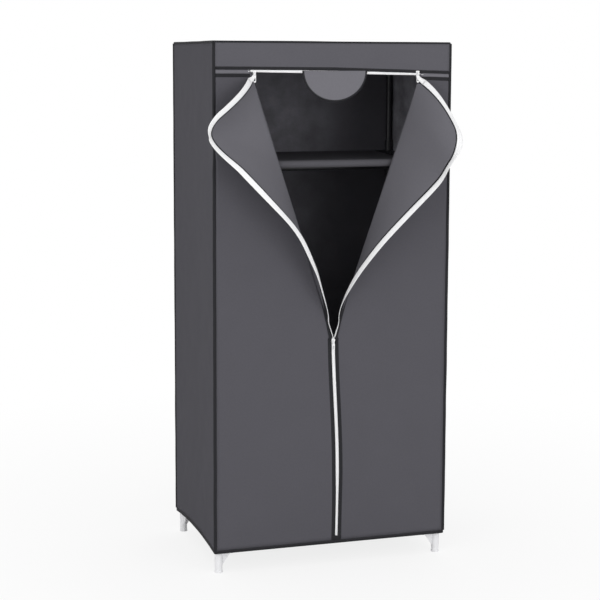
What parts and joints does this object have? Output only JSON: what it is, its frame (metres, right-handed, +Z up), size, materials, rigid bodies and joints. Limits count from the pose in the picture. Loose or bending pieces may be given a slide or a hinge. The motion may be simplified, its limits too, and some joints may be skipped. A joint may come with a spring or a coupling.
{
  "type": "portable fabric wardrobe",
  "caption": "Freestanding clothes cabinet: fabric cover with zip front folded open, over a steel tube frame with plastic connectors, hanging rail and shelf.",
  "frame": {"origin": "centre of the bounding box on the floor, under the feet", "axes": "+Z up, the zip front faces -Y, +X to the right of someone facing the front"},
  "size_m": [0.7884, 0.7238, 1.6],
  "materials": {
    "foot_plastic": "matte white injection moulded plastic",
    "connector_plastic": "matte dark grey injection moulded plastic",
    "frame_tube": "dark grey powder coat, semi gloss",
    "shelf_fabric": "grey non-woven, matt",
    "side_fabric": "grey non-woven, matt",
    "header_fabric": "grey non-woven, matt",
    "cover_fabric": "grey non-woven, matt",
    "flap_fabric": "grey non-woven, matt",
    "tab_fabric": "grey non-woven, matt",
    "binding": "dark grey woven binding tape",
    "zip_tape": "white woven zip tape with nylon coil",
    "zip_metal": "white enamelled zinc"
  },
  "bodies": {
    "cabinet": {"foot_connector_front_left": "foot_plastic", "shelf_connector_front_left": "connector_plastic", "top_connector_front_left": "connector_plastic", "lower_post_front_left": "frame_tube", "upper_post_front_left": "frame_tube", "foot_connector_back_left": "foot_plastic", "shelf_connector_back_left": "connector_plastic", "top_connector_back_left": "connector_plastic", "lower_post_back_left": "frame_tube", "upper_post_back_left": "frame_tube", "foot_connector_front_right": "foot_plastic", "shelf_connector_front_right": "connector_plastic", "top_connector_front_right": "connector_plastic", "lower_post_front_right": "frame_tube", "upper_post_front_right": "frame_tube", "foot_connector_back_right": "foot_plastic", "shelf_connector_back_right": "connector_plastic", "top_connector_back_right": "connector_plastic", "lower_post_back_right": "frame_tube", "upper_post_back_right": "frame_tube", "bottom_rail_front": "frame_tube", "bottom_rail_back": "frame_tube", "bottom_rail_left": "frame_tube", "bottom_rail_right": "frame_tube", "shelf_rail_front": "frame_tube", "shelf_rail_back": "frame_tube", "shelf_rail_left": "frame_tube", "shelf_rail_right": "frame_tube", "top_rail_front": "frame_tube", "top_rail_back": "frame_tube", "top_rail_left": "frame_tube", "top_rail_right": "frame_tube", "rail_hanger_left": "connector_plastic", "rail_hanger_right": "connector_plastic", "hanging_rail": "frame_tube", "shelf_cloth": "shelf_fabric", "base_cloth": "shelf_fabric", "back_panel": "side_fabric", "side_panel_left": "side_fabric", "side_panel_right": "side_fabric", "roof_panel": "header_fabric", "bound_seams": "binding", "hem_binding": "binding", "header_band": "header_fabric", "front_panel_left": "cover_fabric", "front_panel_right": "cover_fabric", "header_zip": "zip_tape", "lower_zip": "zip_tape"},
    "door_left": {"door_flap_left": "flap_fabric", "door_zip_left": "zip_tape"},
    "door_right": {"door_flap_right": "flap_fabric", "door_zip_right": "zip_tape"},
    "half_moon": {"half_moon_tab": "tab_fabric"},
    "slider": {"zip_slider": "zip_metal"},
    "slider_pull": {"zip_pull": "zip_metal"},
    "header_slider_left": {"header_left_slider": "zip_metal"},
    "header_pull_left": {"header_left_pull": "zip_metal"},
    "header_slider_right": {"header_right_slider": "zip_metal"},
    "header_pull_right": {"header_right_pull": "zip_metal"}
  },
  "joints": [
    {"name": "door_left_fold", "type": "hinge", "parent": "cabinet", "child": "door_left", "pos_m": [0.01923, -0.1376, 0.705], "axis": [-0.3072, 0, 0.9517], "range_deg": [-22, 118]},
    {"name": "door_right_fold", "type": "hinge", "parent": "cabinet", "child": "door_right", "pos_m": [0.01923, -0.1376, 0.705], "axis": [-0.3232, 0, -0.9463], "range_deg": [-60, 86]},
    {"name": "half_moon_lift", "type": "hinge", "parent": "cabinet", "child": "half_moon", "pos_m": [0.01923, -0.1391, 1.513], "axis": [-1, 0, 0], "range_deg": [0, 150]},
    {"name": "zip_run", "type": "slide", "parent": "cabinet", "child": "slider", "axis": [0.0193, 0, -0.9998], "range_m": [0, 0.5927]},
    {"name": "zip_pull_swing", "type": "hinge", "parent": "slider", "child": "slider_pull", "pos_m": [0.01938, -0.1407, 0.6952], "axis": [-1, 0, 0], "range_deg": [0, 120]},
    {"name": "header_run_left", "type": "slide", "parent": "cabinet", "child": "header_slider_left", "axis": [1, 0, 0], "range_m": [0, 0.1405]},
    {"name": "header_pull_swing_left", "type": "hinge", "parent": "header_slider_left", "child": "header_pull_left", "pos_m": [-0.23002, -0.1407, 1.5037], "axis": [-1, 0, 0], "range_deg": [0, 120]},
    {"name": "header_run_right", "type": "slide", "parent": "cabinet", "child": "header_slider_right", "axis": [-1, 0, 0], "range_m": [0, 0.1553]},
    {"name": "header_pull_swing_right", "type": "hinge", "parent": "header_slider_right", "child": "header_pull_right", "pos_m": [0.28328, -0.1407, 1.5037], "axis": [-1, 0, 0], "range_deg": [0, 120]}
  ]
}
